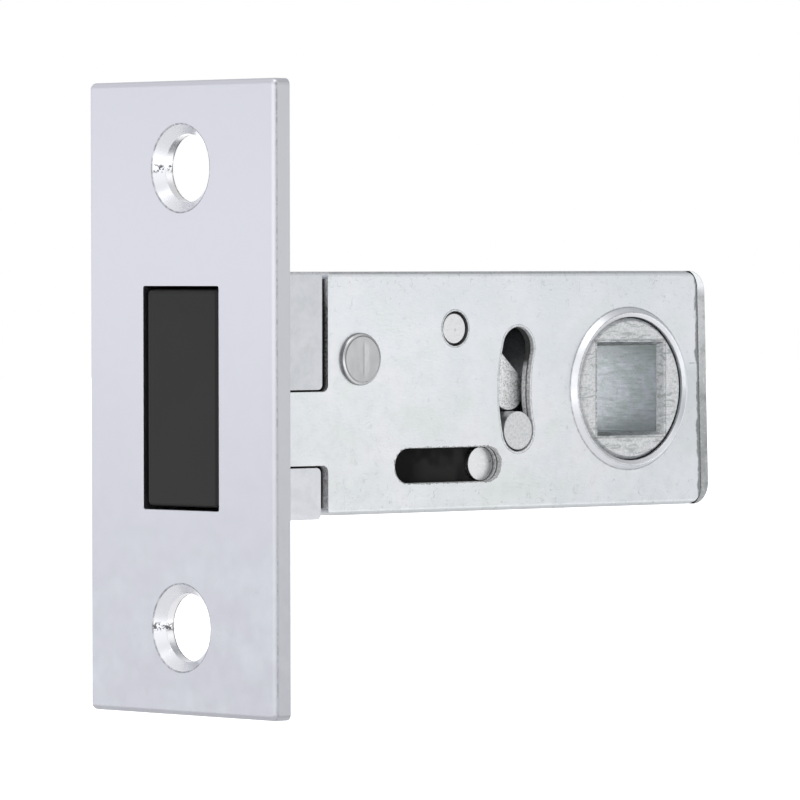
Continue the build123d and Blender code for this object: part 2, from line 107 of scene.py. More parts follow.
# Studio
# The tent's walls: an angle in degrees, as make_world counts them, and the colour there
TENT = (
    (-180, (0.76, 0.765, 0.78, 1)),
    (-110, (0.845, 0.85, 0.905, 1)),
    (-35, (0.845, 0.85, 0.905, 1)),
    (-12, (1.25, 1.25, 1.27, 1)),
    (38, (1.25, 1.25, 1.27, 1)),
    (55, (0.5, 0.5, 0.51, 1)),
    (85, (0.5, 0.5, 0.51, 1)),
    (108, (0.75, 0.755, 0.77, 1)),
    (180, (0.75, 0.755, 0.77, 1)),
)
TENT_LIGHT = 0.65  # the tent's strength as diffuse light, where 1 is as bright as it looks
FLOOR_DROP = 30 * MM  # the floor lies this far below the latch
FLOOR_SIZE = 6.0
FLOOR_FADE = (0.08, 0.28)  # the floor turns white between these distances from the origin


class Shader:
    """A material's node tree with short names for the nodes that it uses."""

    def __init__(self, name):
        self.material = bpy.data.materials.new(name)
        self.material.use_nodes = True
        self.nodes = self.material.node_tree.nodes
        self.links = self.material.node_tree.links
        self.principled = self.nodes["Principled BSDF"]
        self.coordinates = self.nodes.new("ShaderNodeTexCoord").outputs["Object"]

    def link(self, value, socket):
        """Puts a number, a colour or another node's output into a socket."""
        if isinstance(value, bpy.types.NodeSocket):
            self.links.new(value, socket)
        else:
            socket.default_value = value

    def math(self, operation, first, second=0.0):
        """One step of arithmetic."""
        node = self.nodes.new("ShaderNodeMath")
        node.operation = operation
        self.link(first, node.inputs[0])
        self.link(second, node.inputs[1])
        return node.outputs[0]

    def ramp(self, value, low, high, start=0.0, end=1.0):
        """Maps low..high to start..end, with smooth ends."""
        node = self.nodes.new("ShaderNodeMapRange")
        node.interpolation_type = "SMOOTHSTEP"
        self.link(value, node.inputs["Value"])
        self.link(low, node.inputs["From Min"])
        self.link(high, node.inputs["From Max"])
        self.link(start, node.inputs["To Min"])
        self.link(end, node.inputs["To Max"])
        return node.outputs["Result"]

    def stretched(self, factors):
        """The coordinates, scaled by a factor for each axis."""
        node = self.nodes.new("ShaderNodeVectorMath")
        node.operation = "MULTIPLY"
        self.link(self.coordinates, node.inputs[0])
        node.inputs[1].default_value = factors
        return node.outputs["Vector"]

    def noise(self, size, detail=2.0, roughness=0.5, vector=None, distortion=0.0):
        """Soft noise whose features are about size metres across."""
        node = self.nodes.new("ShaderNodeTexNoise")
        node.inputs["Scale"].default_value = 1 / size
        node.inputs["Detail"].default_value = detail
        node.inputs["Roughness"].default_value = roughness
        node.inputs["Distortion"].default_value = distortion
        self.link(vector or self.coordinates, node.inputs["Vector"])
        return node.outputs["Fac"]

    def scatter(self, size):
        """Distance to the nearest of scattered points, which are about size metres apart."""
        node = self.nodes.new("ShaderNodeTexVoronoi")
        node.inputs["Scale"].default_value = 1 / size
        self.link(self.coordinates, node.inputs["Vector"])
        return node.outputs["Distance"]

    def mix(self, factor, first, second, blend="MIX"):
        """Goes from first to second, or to the blend of both, as factor goes from 0 to 1."""
        node = self.nodes.new("ShaderNodeMix")
        node.data_type = "RGBA"
        node.blend_type = blend
        self.link(factor, node.inputs["Factor"])
        self.link(first, node.inputs[6])
        self.link(second, node.inputs[7])
        return node.outputs[2]

    def axis(self, name):
        """One coordinate of the row frame, in metres."""
        node = self.nodes.new("ShaderNodeSeparateXYZ")
        self.link(self.coordinates, node.inputs[0])
        return node.outputs[name]

    def facing(self, name):
        """One component of the surface's normal, in the row frame."""
        node = self.nodes.new("ShaderNodeSeparateXYZ")
        self.link(self.nodes.new("ShaderNodeTexCoord").outputs["Normal"], node.inputs[0])
        return node.outputs[name]

    def bump(self, height, depth, normal=None):
        """Relief whose height of 0 to 1 stands for depth metres."""
        node = self.nodes.new("ShaderNodeBump")
        node.inputs["Distance"].default_value = depth
        self.link(height, node.inputs["Height"])
        if normal is not None:
            self.link(normal, node.inputs["Normal"])
        return node.outputs["Normal"]

    def bevel(self, radius):
        """The surface's normal, rounded over at its edges."""
        node = self.nodes.new("ShaderNodeBevel")
        node.samples = 6
        node.inputs["Radius"].default_value = radius
        return node.outputs["Normal"]

    def edge(self, radius):
        """1 along the edges and 0 on the flats."""
        geometry = self.nodes.new("ShaderNodeNewGeometry")
        node = self.nodes.new("ShaderNodeVectorMath")
        node.operation = "DOT_PRODUCT"
        self.link(self.bevel(radius), node.inputs[0])
        self.link(geometry.outputs["Normal"], node.inputs[1])
        return self.ramp(self.math("SUBTRACT", 1.0, node.outputs["Value"]), 0.02, 0.25)

    def both(self, first, second):
        """Where two masks of 0 to 1 overlap."""
        return self.math("MULTIPLY", first, second)

    def above(self, value, limit, soft=0.02 * MM):
        """1 where a value is over a limit, and 0 under it."""
        return self.ramp(value, limit - soft, limit + soft)

    def below(self, value, limit, soft=0.02 * MM):
        """1 where a value is under a limit, and 0 over it."""
        return self.ramp(value, limit - soft, limit + soft, 1.0, 0.0)

    def away(self, value, middle):
        """How far a value is from middle, either way."""
        return self.math("ABSOLUTE", self.math("SUBTRACT", value, middle))

    def band(self, value, middle, half_width):
        """1 where a value lies close to middle, and 0 beyond half_width."""
        return self.ramp(self.away(value, middle), 0.4 * half_width, half_width, 1.0, 0.0)

    def length(self, first, second):
        """The straight distance over two legs at right angles."""
        return self.math("SQRT", self.math("ADD", self.both(first, first), self.both(second, second)))

    def from_axis(self, centre_x, centre_z):
        """Distance to an axis that crosses the case."""
        dx = self.math("SUBTRACT", self.axis("X"), centre_x)
        dz = self.math("SUBTRACT", self.axis("Z"), centre_z)
        return self.length(dx, dz)

    def from_slot(self, low_x, high_x, z):
        """Distance to the middle line of a straight slot."""
        beyond = self.away(self.axis("X"), (low_x + high_x) / 2)
        beyond = self.math("MAXIMUM", self.math("SUBTRACT", beyond, (high_x - low_x) / 2), 0.0)
        return self.length(beyond, self.math("SUBTRACT", self.axis("Z"), z))

    def from_arc(self, centre_x, centre_z, radius, low_angle, high_angle):
        """Distance to the middle line of a slot that curves round an axis.

        The slot lies on the axis's -X side, between two angles below it, in degrees.
        """
        distances = []
        ends = []
        for angle in (low_angle, high_angle):
            end_x = centre_x - radius * math.cos(math.radians(angle))
            end_z = centre_z - radius * math.sin(math.radians(angle))
            ends.append(end_z)
            distances.append(self.from_axis(end_x, end_z))
        ring = self.away(self.from_axis(centre_x, centre_z), radius)
        # The ring counts only between the slot's ends, and on the axis's -X side
        height = self.away(self.axis("Z"), sum(ends) / 2)
        ring = self.math("ADD", ring, self.above(height, abs(ends[1] - ends[0]) / 2))
        ring = self.math("ADD", ring, self.above(self.axis("X"), centre_x))
        return self.math("MINIMUM", ring, self.math("MINIMUM", *distances))

    def hairs(self, size, amount, seed):
        """Fine hair-like scratches: thin contours of a soft noise, kept in a share of the places."""
        offset = self.nodes.new("ShaderNodeVectorMath")
        offset.operation = "ADD"
        self.link(self.coordinates, offset.inputs[0])
        offset.inputs[1].default_value = (seed, seed, seed)
        moved = offset.outputs["Vector"]
        line = self.band(self.noise(size, detail=1.5, distortion=1.2, vector=moved), 0.5, 0.012)
        places = self.noise(size * 0.7, detail=1.0, vector=moved)
        return self.both(line, self.ramp(places, 0.6 - amount, 0.68 - amount))

    def finish(self, colour, roughness, normal, metallic=1.0):
        """Links what the surface takes, and gives the material."""
        self.link(colour, self.principled.inputs["Base Color"])
        self.link(roughness, self.principled.inputs["Roughness"])
        self.link(normal, self.principled.inputs["Normal"])
        self.link(metallic, self.principled.inputs["Metallic"])
        return self.material


class ZincSheet(Shader):
    """Bright zinc plate on rolled sheet, with its folds, collar, punched rims and sheared walls."""

    def __init__(self, name):
        super().__init__(name)
        self.mottle = self.noise(1.1 * MM, detail=5.0, roughness=0.65)
        self.grain = self.noise(0.22 * MM, detail=4.0, roughness=0.7)
        ragged = self.noise(0.45 * MM, detail=3.0, roughness=0.7)
        self.ragged = self.math("MULTIPLY", self.math("SUBTRACT", ragged, 0.5), 0.5 * MM)
        self.height = self.away(self.axis("Z"), CASE_MIDDLE)
        self.depth = self.math("ABSOLUTE", self.axis("Y"))
        self.from_hub = self.from_axis(HUB_CENTRE.x, HUB_CENTRE.z)
        # Distances from the rims of what is punched out, 0 on the rim
        straight = self.from_slot(SLOT_LOW_X, SLOT_HIGH_X, BOLT_PIN_Z)
        self.straight_rim = self.math("SUBTRACT", straight, SLOT_HALF)
        curved = self.from_arc(
            HUB_CENTRE.x, HUB_CENTRE.z, ARM_RADIUS, ARM_REST - HUB_TRAVEL, ARM_REST
        )
        self.curved_rim = self.math("SUBTRACT", curved, ARM_SLOT_HALF)
        pin_hole = self.from_axis(PIN_CENTRE.x, PIN_CENTRE.z)
        self.pin_rim = self.math("SUBTRACT", pin_hole, PIN_HOLE_RADIUS)
        # The sheet's cut walls, which face along the sheet, inside the folds and outside the collar
        across = self.below(self.math("ABSOLUTE", self.facing("Y")), 0.5, 0.1)
        inside = self.below(self.height, FOLD_INSIDE)
        self.wall = self.both(across, self.both(inside, self.above(self.depth, SHEET_INSIDE)))
        self.wall = self.both(self.wall, self.above(self.from_hub, COLLAR_RADIUS))

    def sheet(self):
        """The flat sheet: clouded, faintly tinted and mottled, with hairs, and painted shade that
        makes it darker low down and to the rear.
        """
        cloud = self.noise(7 * MM, detail=4.0, roughness=0.55, distortion=0.4)
        cloud = self.ramp(cloud, 0.3, 0.7)
        colour = self.mix(cloud, (0.675, 0.705, 0.725, 1), (0.725, 0.737, 0.757, 1))
        tint = self.noise(5 * MM, detail=3.0, vector=self.stretched((1.0, 1.0, 1.4)))
        colour = self.mix(self.ramp(tint, 0.5, 0.72, 0.0, 0.7), colour, (0.66, 0.705, 0.69, 1))
        mottle = self.ramp(self.mottle, 0.5, 0.75, 0.0, 0.14)
        colour = self.mix(mottle, colour, (0.60, 0.62, 0.63, 1))
        near_edge = self.ramp(self.height, 6 * MM, 10.6 * MM)
        share = self.ramp(near_edge, 0.0, 1.0, 0.22, 0.5)
        for size, amount, seed in ((1.7 * MM, 0.08, 0.11), (0.9 * MM, 0.05, 0.27)):
            kept = self.both(self.hairs(size, amount, seed), share)
            colour = self.mix(kept, colour, (0.42, 0.44, 0.45, 1))
        # Painted shade: darker low down, lighter high up, and darker towards the rear
        rise = self.ramp(self.axis("Z"), -9 * MM, 8 * MM)
        tone = self.mix(rise, (0.965, 0.96, 0.95, 1), (1.03, 1.03, 1.025, 1))
        colour = self.mix(1.0, colour, tone, "MULTIPLY")
        rear = self.ramp(self.axis("X"), 8 * MM, 58 * MM)
        return self.mix(rear, colour, (0.9, 0.905, 0.915, 1), "MULTIPLY")

    def folds(self, colour):
        """Grainy painted shade where the sides fold over and on the flat top, and specks near the
        folds and the hub.
        """
        limit = CASE_TOP - 0.2 * MM
        # Painted shade: a dark, grainy line along the top fold, fainter to the rear, and a darker
        # flat top
        flat_top = self.above(self.facing("Z"), 0.95, 0.03)
        fold = self.above(self.axis("Z"), limit, 0.08 * MM)
        fold = self.both(fold, self.ramp(self.grain, 0.35, 0.6, 0.35, 1.0))
        fold = self.both(fold, self.ramp(self.axis("X"), 38 * MM, 54 * MM, 0.7, 0.3))
        fold = self.both(fold, self.math("SUBTRACT", 1.0, flat_top))
        colour = self.mix(fold, colour, (0.31, 0.31, 0.305, 1))
        flat_top = self.both(flat_top, self.above(self.axis("Z"), limit))
        flat_top = self.both(flat_top, self.ramp(self.mottle, 0.35, 0.65, 0.38, 0.5))
        colour = self.mix(flat_top, colour, (0.34, 0.34, 0.34, 1))
        specks = self.ramp(self.noise(0.45 * MM, detail=4.0, roughness=0.7), 0.58, 0.68)
        specks = self.both(self.ramp(self.height, 8.6 * MM, 10.8 * MM), specks)
        near_hub = self.ramp(self.from_hub, 8 * MM, 10 * MM, 1.0, 0.0)
        hub_specks = self.ramp(self.noise(0.5 * MM, detail=4.0, roughness=0.7), 0.6, 0.68)
        specks = self.math("MAXIMUM", specks, self.both(near_hub, hub_specks))
        return self.mix(self.both(specks, 0.5), colour, (0.43, 0.44, 0.45, 1))

    def collar(self, colour):
        """The pressed collar with a painted highlight, painted shade inside at its front, and dark
        painted shade lines at its foot and crest.
        """
        # Painted highlight: the raised collar lighter than the sheet
        raised = self.above(self.depth, CASE_SIDE + 0.03 * MM)
        raised = self.both(raised, self.below(self.from_hub, COLLAR_RADIUS + 0.2 * MM))
        colour = self.mix(raised, colour, (0.84, 0.855, 0.88, 1))
        # Painted shade inside the collar, on its front half
        inner = self.below(self.from_hub, COLLAR_RADIUS - 0.55 * MM)
        inner = self.both(inner, self.below(self.axis("X"), HUB_CENTRE.x, 3 * MM))
        colour = self.mix(self.both(raised, inner), colour, (0.66, 0.67, 0.68, 1))
        # Painted shade: dark lines at the collar's foot and crest
        foot = self.band(self.from_hub, COLLAR_RADIUS, 0.09 * MM)
        foot = self.both(foot, self.ramp(self.grain, 0.35, 0.6, 0.35, 0.9))
        colour = self.mix(self.both(foot, 0.8), colour, (0.3, 0.31, 0.32, 1))
        crest = self.band(self.from_hub, COLLAR_RADIUS - 0.5 * MM, 0.1 * MM)
        crest = self.both(crest, self.ramp(self.grain, 0.4, 0.6, 0.5, 1.0))
        crest = self.both(crest, self.below(self.axis("X"), HUB_CENTRE.x + 2 * MM, 3 * MM))
        return self.mix(self.both(crest, 0.6), colour, (0.24, 0.25, 0.26, 1))

    def burrs(self, colour):
        """Burred rims of what is punched out, fine lines outside two of them, and dark edges of burr
        and painted shade.
        """
        for rim, lift, share in (
            (self.straight_rim, 0.04 * MM, 0.9),
            (self.curved_rim, 0.02 * MM, 0.6),
            (self.pin_rim, 0.02 * MM, 0.6),
        ):
            burr = self.band(self.math("ADD", rim, self.ragged), lift, 0.08 * MM)
            burr = self.both(burr, self.ramp(self.grain, 0.35, 0.55, 0.3, 1.0))
            colour = self.mix(self.both(burr, share), colour, (0.2, 0.21, 0.2, 1))
        for rim, lift in ((self.curved_rim, 0.2 * MM), (self.pin_rim, 0.15 * MM)):
            line = self.band(rim, lift, 0.055 * MM)
            line = self.both(line, self.ramp(self.grain, 0.35, 0.6, 0.25, 0.9))
            colour = self.mix(line, colour, (0.3, 0.31, 0.31, 1))
        # Dark edges: partly burr, partly painted shade
        edges = self.both(self.edge(0.1 * MM), self.ramp(self.grain, 0.4, 0.6))
        return self.mix(self.both(edges, 0.6), colour, (0.34, 0.35, 0.35, 1))

    def walls(self, colour):
        """Sheared walls, in the openings and round the sheet's ends, with painted light and shade on
        some of them.
        """
        coarse = self.ramp(self.grain, 0.35, 0.6)
        shear = self.mix(coarse, (0.55, 0.56, 0.56, 1), (0.98, 0.98, 0.98, 1))
        torn = self.math("ADD", self.depth, self.both(self.ragged, 0.3))
        crack = self.both(self.band(torn, SHEET_CORE, 0.12 * MM), 0.9)
        shear = self.mix(crack, shear, (0.03, 0.03, 0.03, 1))
        # At the mouth the walls carry painted light and shade: a painted highlight at both ends,
        # murky painted shade between them, and black painted shade inwards
        mouth = self.below(self.axis("X"), MOUTH_X + 0.7 * MM)
        low_end = self.below(self.axis("Z"), -3 * MM)
        high_end = self.ramp(self.axis("Z"), 7.5 * MM, 9.5 * MM)
        lit = self.mix(self.ramp(self.grain, 0.38, 0.6), (0.6, 0.6, 0.6, 1), (1, 1, 1, 1))
        murky = self.ramp(self.grain, 0.4, 0.6)
        murky = self.mix(murky, (0.12, 0.12, 0.12, 1), (0.5, 0.5, 0.5, 1))
        outer = self.mix(low_end, self.mix(high_end, murky, lit), lit)
        thin = self.ramp(torn, 5.6 * MM, 6.1 * MM)
        wide = self.ramp(torn, 5.3 * MM, 5.7 * MM)
        bright = self.mix(low_end, thin, wide)
        shear = self.mix(mouth, shear, self.mix(bright, (0.03, 0.03, 0.03, 1), outer))
        # Painted shade: the dark inner half of the curved slot's upper walls, and the dark walls of
        # the pin's hole
        deep = self.above(self.axis("Z"), 2.8 * MM, 0.4 * MM)
        deep = self.both(self.below(self.curved_rim, 0.3 * MM), deep)
        deep = self.both(deep, self.below(torn, SHEET_CORE))
        deep = self.math("MAXIMUM", deep, self.below(self.pin_rim, 0.2 * MM))
        shear = self.mix(self.both(deep, 0.92), shear, (0.05, 0.05, 0.05, 1))
        return self.mix(self.wall, colour, shear)

    def plated(self):
        """The sheet's colour with all that lies on it."""
        return self.walls(self.burrs(self.collar(self.folds(self.sheet()))))

    def finish_sheet(self, colour):
        """The material: a rolled relief, and walls that are rougher and hardly metallic."""
        along = self.stretched((0.35, 1.0, 1.0))
        rolled = self.noise(0.18 * MM, detail=3.0, roughness=0.6, vector=along)
        relief = self.math("ADD", self.both(rolled, 0.5), self.both(self.mottle, 0.5))
        relief = self.math("ADD", relief, self.both(self.both(self.wall, self.grain), 2.0))
        normal = self.bump(relief, 0.014 * MM, self.bevel(0.1 * MM))
        roughness = self.ramp(self.mottle, 0.3, 0.75, 0.3, 0.42)
        roughness = self.math("MAXIMUM", roughness, self.both(self.wall, 0.6))
        metallic = self.math("SUBTRACT", 1.0, self.both(self.wall, 0.85))
        return self.finish(colour, roughness, normal, metallic)


def satin_chrome():
    """Satin chrome: an even front with painted shade, brighter countersinks by painted light, painted
    highlights and a dark line of painted shade at the edge, duller ears.
    """
    s = Shader("satin_chrome")
    x = s.axis("X")
    y = s.axis("Y")
    z = s.axis("Z")
    mottle = s.noise(1.4 * MM, detail=5.0, roughness=0.65)
    stipple = s.noise(0.12 * MM, detail=3.0, roughness=0.6)
    broken = s.noise(0.6 * MM, detail=4.0, roughness=0.7, vector=s.stretched((1.0, 1.0, 0.8)))
    # The front, with painted shade that makes it lighter towards the top, and faint stains near its
    # foot
    rise = s.ramp(z, -24 * MM, 20 * MM)
    colour = s.mix(rise, (0.535, 0.54, 0.58, 1), (0.658, 0.663, 0.703, 1))
    stain = s.ramp(s.noise(5 * MM, detail=3.0), 0.42, 0.6)
    stain = s.both(s.below(z, -13 * MM, 3 * MM), stain)
    colour = s.mix(s.both(stain, 0.38), colour, (0.58, 0.62, 0.64, 1))
    # The plate's edge is duller, with painted shade that darkens it low down, and a dark, broken line
    # of painted shade runs where the front rounds into it
    side = s.ramp(s.math("ABSOLUTE", s.facing("Y")), 0.8, 0.97)
    rise = s.ramp(z, -24 * MM, 22 * MM)
    dull_and_shaded = s.mix(rise, (0.457, 0.465, 0.495, 1), (0.533, 0.541, 0.563, 1))
    colour = s.mix(side, colour, dull_and_shaded)
    painted_edge_shade = s.band(x, plate_low.x + 0.3 * MM, 0.1 * MM)
    painted_edge_shade = s.both(painted_edge_shade, s.above(s.math("ABSOLUTE", y), plate_high.y - 0.3 * MM))
    painted_edge_shade = s.both(painted_edge_shade, s.ramp(broken, 0.46, 0.62, 0.1, 0.7))
    colour = s.mix(painted_edge_shade, colour, (0.34, 0.34, 0.355, 1))
    # Ears: mottled, the lower pair lighter, with hairs and grainy painted shade along the top
    ear = s.both(side, s.above(x, 0.0))
    ear_colour = s.ramp(mottle, 0.35, 0.7)
    ear_colour = s.mix(ear_colour, (0.59, 0.60, 0.625, 1), (0.53, 0.545, 0.56, 1))
    lower = s.both(s.below(z, 0.0), s.ramp(mottle, 0.3, 0.6, 1.0, 0.5))
    ear_colour = s.mix(lower, ear_colour, (0.63, 0.64, 0.67, 1))
    colour = s.mix(ear, colour, ear_colour)
    hairs = s.both(s.hairs(1.6 * MM, 0.08, 0.3), s.math("MAXIMUM", ear, stain))
    colour = s.mix(s.both(hairs, 0.3), colour, (0.45, 0.46, 0.47, 1))
    # Painted shade along the top of the ears
    top = s.both(s.above(x, 0.3 * MM, 0.1 * MM), s.above(z, CASE_TOP - 0.25 * MM, 0.1 * MM))
    colour = s.mix(s.both(top, s.ramp(stipple, 0.4, 0.6)), colour, (0.3, 0.31, 0.32, 1))
    # Countersinks: a painted highlight on the cones, painted light in the bores, and dark crumbs left
    # by the cutter
    height = s.math("SUBTRACT", s.math("ABSOLUTE", z), SCREW_Z)
    radius = s.length(y, height)
    front = s.below(x, -0.05 * MM, 0.03 * MM)
    cone = s.both(s.below(radius, COUNTERSINK_RADIUS), front)
    colour = s.mix(cone, colour, (0.84, 0.85, 0.88, 1))
    hole = s.below(radius, HOLE_RADIUS + 0.03 * MM)
    bore = s.both(hole, s.above(x, plate_low.x + CONE_DEPTH, 0.04 * MM))
    colour = s.mix(bore, colour, (0.99, 0.99, 1.0, 1))
    crumbs = s.ramp(s.noise(0.36 * MM, detail=3.0, roughness=0.7), 0.49, 0.54)
    crumbs = s.both(s.both(s.band(height, 0.0, 0.5 * MM), crumbs), cone)
    colour = s.mix(s.both(crumbs, 0.9), colour, (0.05, 0.05, 0.055, 1))
    # Their dark rims, round the cone at the front and round the bore at the back
    brink = s.both(hole, s.band(x, -0.03 * MM, 0.16 * MM))
    rim = s.both(front, s.band(radius, COUNTERSINK_RADIUS, 0.1 * MM))
    rim = s.both(s.math("MAXIMUM", rim, brink), s.ramp(broken, 0.35, 0.6, 0.3, 0.9))
    colour = s.mix(rim, colour, (0.24, 0.25, 0.27, 1))
    # Painted highlight along the edges
    colour = s.mix(s.both(s.edge(0.1 * MM), 0.4), colour, (0.9, 0.9, 0.92, 1))
    roughness = s.ramp(mottle, 0.3, 0.7, 0.32, 0.38)
    roughness = s.math("MULTIPLY", roughness, s.ramp(cone, 0.0, 1.0, 1.0, 0.8))
    normal = s.bump(stipple, 0.004 * MM, s.bevel(0.09 * MM))
    return s.finish(colour, roughness, normal)


def zinc_body():
    """The slotted side, with painted shade behind the hub and a dark, uneven line of painted shade
    beside the seam at its rear.
    """
    s = ZincSheet("zinc_plate_body")
    colour = s.plated()
    # Painted shade: greyer behind the hub, low down, with a small dark nick where that begins
    behind = s.above(s.axis("X"), HUB_CENTRE.x + 4 * MM, 3 * MM)
    behind = s.both(behind, s.below(s.axis("Z"), 2.4 * MM, 0.7 * MM))
    behind = s.both(behind, s.ramp(s.axis("Z"), -9 * MM, 0.0))
    colour = s.mix(behind, colour, (0.89, 0.905, 0.9, 1), "MULTIPLY")
    tall = s.stretched((1.0, 1.0, 0.45))
    blotch = s.noise(0.9 * MM, detail=4.0, roughness=0.65, vector=tall)
    nick = s.band(s.axis("Z"), 2.6 * MM, 0.09 * MM)
    nick = s.both(nick, s.above(s.axis("X"), HUB_CENTRE.x + 8 * MM, 0.1 * MM))
    nick = s.both(nick, s.ramp(blotch, 0.35, 0.6, 0.2, 0.8))
    colour = s.mix(nick, colour, (0.3, 0.31, 0.31, 1))
    # Painted shade: a dark, uneven line beside the seam at the rear
    lean = s.both(s.math("SUBTRACT", s.axis("Z"), CASE_MIDDLE), SEAM_LEAN)
    wander = s.both(s.math("SUBTRACT", blotch, 0.5), 1.1 * MM)
    place = s.math("ADD", s.math("ADD", s.axis("X"), lean), wander)
    seam = s.above(place, SEAM_X - 0.28 * MM, 0.1 * MM)
    seam = s.both(seam, s.below(s.axis("Y"), -5.3 * MM))
    colour = s.mix(s.both(seam, 0.85), colour, (0.14, 0.145, 0.145, 1))
    return s.finish_sheet(colour)


def zinc_cover():
    """The cover's zinc plate, with the rim that wraps round the rear left as sheared, and painted
    shade and a painted highlight on that rim.
    """
    s = ZincSheet("zinc_plate_cover")
    colour = s.plated()
    grain = s.noise(0.3 * MM, detail=4.0, roughness=0.65)
    blotch = s.noise(2.2 * MM, detail=4.0, roughness=0.6)
    rim = s.both(s.below(s.facing("Y"), -0.9, 0.05), s.below(s.axis("Y"), -6.0 * MM))
    rim = s.both(rim, s.above(s.axis("X"), SEAM_X - 3 * MM))
    # Painted shade on the rim, darker low down, and a painted highlight at its top corner
    rise = s.ramp(s.axis("Z"), -4 * MM, 6 * MM)
    rim_colour = s.mix(rise, (0.32, 0.335, 0.335, 1), (0.5, 0.515, 0.52, 1))
    rim_colour = s.mix(s.ramp(blotch, 0.5, 0.7, 0.0, 0.6), rim_colour, (0.2, 0.21, 0.21, 1))
    rim_colour = s.mix(s.ramp(grain, 0.5, 0.7, 0.0, 0.35), rim_colour, (0.72, 0.73, 0.73, 1))
    corner = s.above(s.axis("Z"), CASE_TOP - 1.8 * MM, 0.6 * MM)
    rim_colour = s.mix(corner, rim_colour, (0.82, 0.84, 0.85, 1))
    return s.finish_sheet(s.mix(rim, colour, rim_colour))


def cast_hub():
    """The hub's zinc casting: streaky grain, burred round the square, cloudy walls inside it."""
    s = Shader("cast_zinc_hub")
    grain = s.noise(0.26 * MM, detail=4.0, roughness=0.65)
    streaks = s.stretched((0.4, 1.0, 1.8))
    streak = s.noise(0.8 * MM, detail=5.0, roughness=0.68, distortion=0.9, vector=streaks)
    colour = s.mix(s.ramp(grain, 0.32, 0.66), (0.5, 0.515, 0.52, 1), (0.68, 0.69, 0.695, 1))
    boss = s.below(s.from_axis(HUB_CENTRE.x, HUB_CENTRE.z), HUB_RADIUS)
    boss = s.both(boss, s.ramp(streak, 0.52, 0.62, 0.0, 0.75))
    colour = s.mix(boss, colour, (0.33, 0.35, 0.345, 1))
    fleck = s.noise(0.4 * MM, detail=4.0, roughness=0.7)
    colour = s.mix(s.ramp(fleck, 0.58, 0.68, 0.0, 0.35), colour, (0.4, 0.41, 0.41, 1))
    dx = s.away(s.axis("X"), HUB_CENTRE.x)
    dz = s.away(s.axis("Z"), HUB_CENTRE.z)
    square = s.math("MAXIMUM", dx, dz)
    wobble = s.math("ADD", square, s.both(s.math("SUBTRACT", streak, 0.5), 0.5 * MM))
    burr = s.band(wobble, SQUARE_HALF + 0.5 * MM, 0.14 * MM)
    burr = s.both(burr, s.ramp(streak, 0.35, 0.55, 0.25, 0.9))
    colour = s.mix(s.both(burr, 0.75), colour, (0.2, 0.21, 0.21, 1))
    # The square's walls: cloudy, darker near their ends with painted shade, lined through the hub,
    # dark at the brink
    cloud = s.ramp(s.noise(1.7 * MM, detail=6.0, roughness=0.66, distortion=0.6), 0.3, 0.68)
    wall_colour = s.mix(cloud, (0.52, 0.58, 0.555, 1), (0.65, 0.672, 0.72, 1))
    ends = s.ramp(dz, 1.8 * MM, 4.0 * MM, 0.0, 0.4)
    wall_colour = s.mix(ends, wall_colour, (0.38, 0.42, 0.39, 1))
    lines = s.stretched((1.0, 0.3, 2.2))
    fine = s.noise(0.7 * MM, detail=5.0, roughness=0.72, distortion=0.4, vector=lines)
    wall_colour = s.mix(s.ramp(fine, 0.46, 0.64, 0.0, 0.45), wall_colour, (0.36, 0.38, 0.38, 1))
    wall_colour = s.mix(s.ramp(fine, 0.36, 0.44, 0.3, 0.0), wall_colour, (0.82, 0.84, 0.88, 1))
    corner = s.band(square, SQUARE_HALF - 0.12 * MM, 0.12 * MM)
    corner = s.both(corner, s.ramp(streak, 0.4, 0.55))
    wall_colour = s.mix(s.both(corner, 0.5), wall_colour, (0.15, 0.16, 0.15, 1))
    wall = s.below(square, SQUARE_HALF + 0.02 * MM)
    colour = s.mix(wall, colour, wall_colour)
    relief = s.math("ADD", s.both(grain, 0.5), s.both(streak, 0.5))
    normal = s.bump(relief, 0.03 * MM, s.bevel(0.12 * MM))
    roughness = s.math("SUBTRACT", s.ramp(grain, 0.3, 0.7, 0.42, 0.55), s.both(wall, 0.06))
    return s.finish(colour, roughness, normal)


def cast_lever():
    """The lever's casting: a bright, sparkling grain."""
    s = Shader("cast_zinc_lever")
    grain = s.noise(0.2 * MM, detail=4.0, roughness=0.7)
    pits = s.noise(0.5 * MM, detail=3.0, roughness=0.6)
    colour = s.mix(s.ramp(grain, 0.3, 0.6), (0.42, 0.43, 0.43, 1), (0.92, 0.93, 0.93, 1))
    colour = s.mix(s.ramp(pits, 0.6, 0.74, 0.0, 0.5), colour, (0.5, 0.51, 0.52, 1))
    relief = s.math("ADD", s.both(grain, 0.6), s.both(pits, 0.4))
    normal = s.bump(relief, 0.03 * MM, s.bevel(0.12 * MM))
    return s.finish(colour, s.ramp(grain, 0.3, 0.7, 0.4, 0.55), normal)


def pin_steel():
    """Bright turned and plated steel with a fine grain, painted shade at its edges, and a small
    dimple in the lever pin's end.
    """
    s = Shader("pin_steel")
    grain = s.noise(0.3 * MM, detail=4.0, roughness=0.6)
    colour = s.mix(s.ramp(grain, 0.3, 0.7), (0.645, 0.655, 0.66, 1), (0.695, 0.705, 0.705, 1))
    dimple = s.from_axis(PIN_CENTRE.x + 0.1 * MM, PIN_CENTRE.z - 0.1 * MM)
    dimple = s.below(dimple, 0.14 * MM, 0.08 * MM)
    colour = s.mix(s.both(dimple, 0.6), colour, (0.45, 0.46, 0.47, 1))
    # Painted shade: dark edges
    edge = s.both(s.edge(0.08 * MM), s.ramp(grain, 0.4, 0.6, 0.2, 0.8))
    colour = s.mix(edge, colour, (0.35, 0.36, 0.36, 1))
    normal = s.bump(grain, 0.008 * MM, s.bevel(0.08 * MM))
    return s.finish(colour, s.ramp(grain, 0.3, 0.7, 0.26, 0.36), normal)


